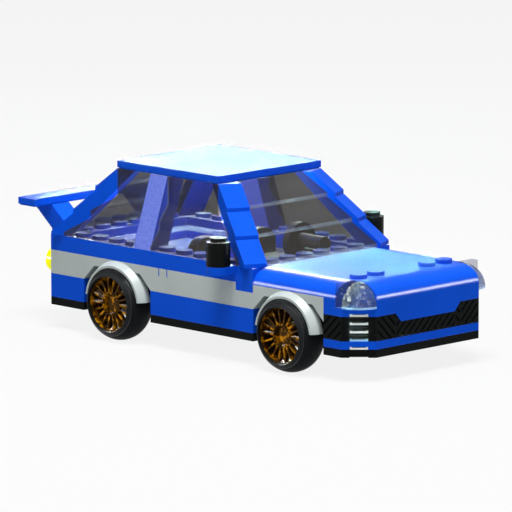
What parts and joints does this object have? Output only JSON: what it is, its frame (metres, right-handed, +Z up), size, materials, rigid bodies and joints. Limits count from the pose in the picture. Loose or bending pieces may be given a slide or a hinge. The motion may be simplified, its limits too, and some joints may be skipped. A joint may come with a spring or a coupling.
{
  "type": "brick-built toy sports car",
  "caption": "Blue toy sports car built from interlocking studded bricks, with smoked windows, rear wing, grey mudguards and free-running spoked wheels.",
  "frame": {"origin": "on the ground under the middle of the car's bounding box", "axes": "+X forward, +Y to the car's left, +Z up"},
  "size_m": [0.16, 0.08, 0.0587],
  "materials": {
    "blue_plastic": "smooth moulded blue",
    "grey_plastic": "smooth moulded light grey",
    "black_plastic": "smooth moulded black",
    "dark_grey_plastic": "smooth moulded dark grey",
    "smoked": "smoked clear plastic",
    "clear": "clear plastic",
    "yellow_clear": "yellow clear plastic",
    "gold_rim": "bronze-gold moulded plastic",
    "tyre": "matte black rubber"
  },
  "bodies": {
    "body": {"axle_front": "black_plastic", "axle_rear": "black_plastic", "band_left": "grey_plastic", "band_right": "grey_plastic", "base_plate": "black_plastic", "belt_left": "blue_plastic", "belt_right": "blue_plastic", "bonnet": "blue_plastic", "bumper": "blue_plastic", "dashboard": "blue_plastic", "door_posts": "blue_plastic", "floor": "blue_plastic", "grille": "black_plastic", "headlamp_left": "clear", "headlamp_right": "clear", "mirror_brackets": "blue_plastic", "mirrors": "black_plastic", "mudguard_front_left": "grey_plastic", "mudguard_front_right": "grey_plastic", "mudguard_rear_left": "grey_plastic", "mudguard_rear_right": "grey_plastic", "nose_plate": "blue_plastic", "pillars_low": "blue_plastic", "pillars_middle": "blue_plastic", "pillars_top": "blue_plastic", "roof": "blue_plastic", "screen_front_low": "smoked", "screen_front_middle": "smoked", "screen_front_top": "smoked", "screen_rear_low": "smoked", "screen_rear_middle": "smoked", "screen_rear_top": "smoked", "seats": "dark_grey_plastic", "side_window_left": "smoked", "side_window_right": "smoked", "sill_left": "blue_plastic", "sill_right": "blue_plastic", "steering": "dark_grey_plastic", "tail_band": "grey_plastic", "tail_lamps": "yellow_clear", "tail_lower": "blue_plastic", "tail_shelf": "blue_plastic", "wing": "blue_plastic", "wing_brackets": "blue_plastic", "wing_struts": "blue_plastic"},
    "wheel_front_right": {"tyre_front_right": "tyre", "rim_front_right": "gold_rim"},
    "wheel_front_left": {"tyre_front_left": "tyre", "rim_front_left": "gold_rim"},
    "wheel_rear_right": {"tyre_rear_right": "tyre", "rim_rear_right": "gold_rim"},
    "wheel_rear_left": {"tyre_rear_left": "tyre", "rim_rear_left": "gold_rim"}
  },
  "joints": [
    {"name": "wheel_front_right_spin", "type": "hinge", "parent": "body", "child": "wheel_front_right", "pos_m": [0.048, -0.029, 0.0125], "axis": [0, 1, 0], "continuous": true},
    {"name": "wheel_front_left_spin", "type": "hinge", "parent": "body", "child": "wheel_front_left", "pos_m": [0.048, 0.029, 0.0125], "axis": [0, 1, 0], "continuous": true},
    {"name": "wheel_rear_right_spin", "type": "hinge", "parent": "body", "child": "wheel_rear_right", "pos_m": [-0.032, -0.029, 0.0125], "axis": [0, 1, 0], "continuous": true},
    {"name": "wheel_rear_left_spin", "type": "hinge", "parent": "body", "child": "wheel_rear_left", "pos_m": [-0.032, 0.029, 0.0125], "axis": [0, 1, 0], "continuous": true}
  ]
}
